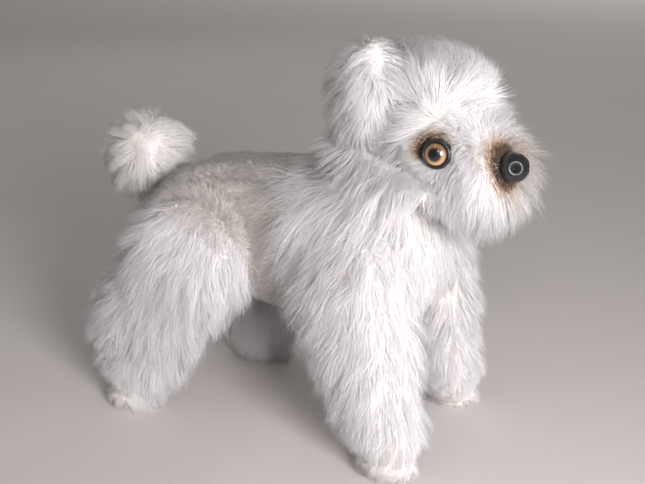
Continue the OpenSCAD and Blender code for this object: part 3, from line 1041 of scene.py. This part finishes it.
def placed(points, at, turn=0.0):
    """Points whose Z looks out of the head, turned away from straight ahead, at a place on the head."""
    turning = Matrix.Rotation(math.radians(turn), 3, "Z") @ Matrix.Rotation(math.radians(90), 3, "Y")
    return head_as_turned(points @ np.array(turning).T + at)


PAD_SHARE = 0.70  # the pile round a foot hides the edge of its sole


def make_soles():
    for kind, side in LEGS:
        low, high = (np.array(v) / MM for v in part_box(f"{kind}_sole_{side}"))
        middle, half = (low + high) / 2, (high - low) / 2
        rim = [(0, 0.0), (0.5, 0.05), (0.86, 0.0), (0.97, 0.5), (1.0, 1.4), (0.98, 2.3), (0.9, 2.9), (0, 2.9)]
        points, faces = lathe(rim, 60)
        points[:, :2] = points[:, :2] * half[:2] * PAD_SHARE + middle[:2]
        mesh = mesh_from(f"{kind}_pad_{side}", points, faces)
        name = f"{kind}_sole_{side}"
        piece = new_piece(f"{kind}_pad_{side}", mesh, f"{kind}_{side}", "sole", [name])


EYE_R = 5.2
EYE_FOOT, EYE_DOME = 0.2, 4.0  # the dome's foot and its height above that


def iris_material():
    """Painted glass: a black pupil, an amber iris with fine spokes and a black edge, under a clear coat. The
    iris is darker towards its top, which is painted shade from the rim above it.
    """
    material, nodes, links, shader = node_material("amber_eye", roughness=0.3)
    shader.inputs["Coat Weight"].default_value = 1.0
    shader.inputs["Coat Roughness"].default_value = 0.02
    place = nodes.new("ShaderNodeUVMap")
    place.uv_map = "iris"
    split = nodes.new("ShaderNodeSeparateXYZ")
    spokes = nodes.new("ShaderNodeTexNoise")
    spokes.inputs["Scale"].default_value = 9
    spokes.inputs["Detail"].default_value = 4
    stretch = nodes.new("ShaderNodeMapping")
    stretch.inputs["Scale"].default_value = (0.3, 6, 1)
    wobble = nodes.new("ShaderNodeMath")
    wobble.operation = "MULTIPLY_ADD"
    wobble.inputs[1].default_value = 0.09
    # Painted shade: the tint is multiplied by a ramp that runs from grey at the iris's top to white at its
    # bottom.
    turn = nodes.new("ShaderNodeMath")
    turn.operation = "MULTIPLY"
    turn.inputs[1].default_value = math.tau
    below = nodes.new("ShaderNodeMath")
    below.operation = "COSINE"
    depth = nodes.new("ShaderNodeMath")
    depth.operation = "MULTIPLY_ADD"
    depth.inputs[1].default_value = 0.5
    depth.inputs[2].default_value = 0.5
    painted_shade_above = colour_ramp(nodes, [(0.1, (0.42, 0.40, 0.38)), (0.9, (1, 1, 1))])
    product = nodes.new("ShaderNodeMix")
    product.data_type = "RGBA"
    product.blend_type = "MULTIPLY"
    product.inputs["Factor"].default_value = 1
    tint = colour_ramp(nodes, [
        (0.00, (0.002, 0.002, 0.002)), (0.52, (0.003, 0.002, 0.002)), (0.56, (0.20, 0.09, 0.03)),
        (0.64, (0.34, 0.20, 0.09)), (0.78, (0.50, 0.32, 0.16)), (0.88, (0.28, 0.15, 0.06)),
        (0.92, (0.012, 0.008, 0.006))])
    links.new(place.outputs["UV"], split.inputs["Vector"])
    links.new(place.outputs["UV"], stretch.inputs["Vector"])
    links.new(stretch.outputs["Vector"], spokes.inputs["Vector"])
    links.new(spokes.outputs["Fac"], wobble.inputs[0])
    links.new(split.outputs["X"], wobble.inputs[2])
    links.new(wobble.outputs["Value"], tint.inputs["Fac"])
    links.new(split.outputs["Y"], turn.inputs[0])
    links.new(turn.outputs["Value"], below.inputs[0])
    links.new(below.outputs["Value"], depth.inputs[0])
    links.new(depth.outputs["Value"], painted_shade_above.inputs["Fac"])
    links.new(tint.outputs["Color"], product.inputs["A"])
    links.new(painted_shade_above.outputs["Color"], product.inputs["B"])
    links.new(product.outputs["Result"], shader.inputs["Base Color"])
    return material


def make_eyes():
    material_of["iris"] = iris_material()
    for side, sign in SIDES.items():
        turn = sign * EYE_TURN
        arc = [(EYE_R * math.cos(a), EYE_FOOT + EYE_DOME * math.sin(a))
               for a in np.linspace(0, math.pi / 2, 16)]
        dome, faces = lathe([(0, -0.6), (EYE_R - 0.3, -0.6), *arc[:-1], (0, EYE_FOOT + EYE_DOME)])
        mesh = mesh_from(f"eyeball_{side}", placed(dome, EYE_AT[side], turn), faces)
        layer = mesh.uv_layers.new(name="iris")
        for loop in mesh.loops:
            x, y, _ = dome[loop.vertex_index]
            layer.data[loop.index].uv = (math.hypot(x, y) / EYE_R, math.atan2(y, x) / math.tau)
        new_piece(f"eyeball_{side}", mesh, "head", "iris", [f"eye_{side}"])
        rim = [(4.7, 0.2), (4.75, 1.5), (5.0, 1.95), (5.45, 2.0), (5.9, 1.6), (6.2, 0.7), (6.3, -0.6),
               (4.7, -0.6), (4.7, 0.2)]
        lid, faces = lathe(rim)
        mesh = mesh_from(f"eye_leather_{side}", placed(lid, EYE_AT[side], turn), faces)
        new_piece(f"eye_leather_{side}", mesh, "head", "rim", [f"eye_rim_{side}"])


NOSE_BALL = 6.3
NOSE_FRONT = 7.4
NOSTRIL_TURN = 47  # degrees from straight ahead, on both sides
NOSTRIL_RISE = 0.1  # how far above the ball's middle, as a share of its radius
RIDGE_R, RIDGE_WIDE, RIDGE_HIGH = 2.8, 0.8, 0.3
HOLLOW_R, HOLLOW_DEEP = 1.6, 2.3
CLEFT_WIDE, CLEFT_DEEP = 0.45, 0.7


def make_nose():
    """A moulded ball nose, flattened behind, with a rimmed nostril on each side and a cleft under it."""
    angles = np.linspace(0, math.radians(128), 40)[1:]
    profile = [(0, NOSE_FRONT)] + [(NOSE_BALL * math.sin(a), NOSE_FRONT - NOSE_BALL * (1 - math.cos(a)))
                                   for a in angles] + [(0, NOSE_FRONT - NOSE_BALL * 1.7)]
    points, faces = lathe(profile, 96)
    middle = np.array([0, 0, NOSE_FRONT - NOSE_BALL])
    out = unit(points - middle)
    for sign in (1, -1):
        turn = math.radians(NOSTRIL_TURN)
        nostril = np.array([-NOSTRIL_RISE, sign * math.sin(turn), math.cos(turn)])
        gap = np.linalg.norm(out - nostril, axis=1) * NOSE_BALL
        ridge = RIDGE_HIGH * np.exp(-(((gap - RIDGE_R) / RIDGE_WIDE) ** 2))
        hollow = HOLLOW_DEEP * np.exp(-((gap / HOLLOW_R) ** 2))
        points += out * (ridge - hollow)[:, None]
    cleft = CLEFT_DEEP * np.exp(-((points[:, 1] / CLEFT_WIDE) ** 2)) * rise(0.5, 2.5, points[:, 0])
    points -= out * cleft[:, None]
    mesh = mesh_from("nose_button", placed(points, NOSE_AT), faces)
    new_piece("nose_button", mesh, "head", "nose", ["nose"])


make_soles()
make_eyes()
make_nose()


# ---------------------------------------------------------------- the CAD nodes that stay

for node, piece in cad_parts.items():
    if piece.hide_render:
        continue
    if "disc" in node:
        chosen = "hardboard"
    elif "stuffing" in node:
        chosen = "stuffing"
    else:
        chosen = "steel"
    piece.data.materials.clear()
    piece.data.materials.append(material_of[chosen])
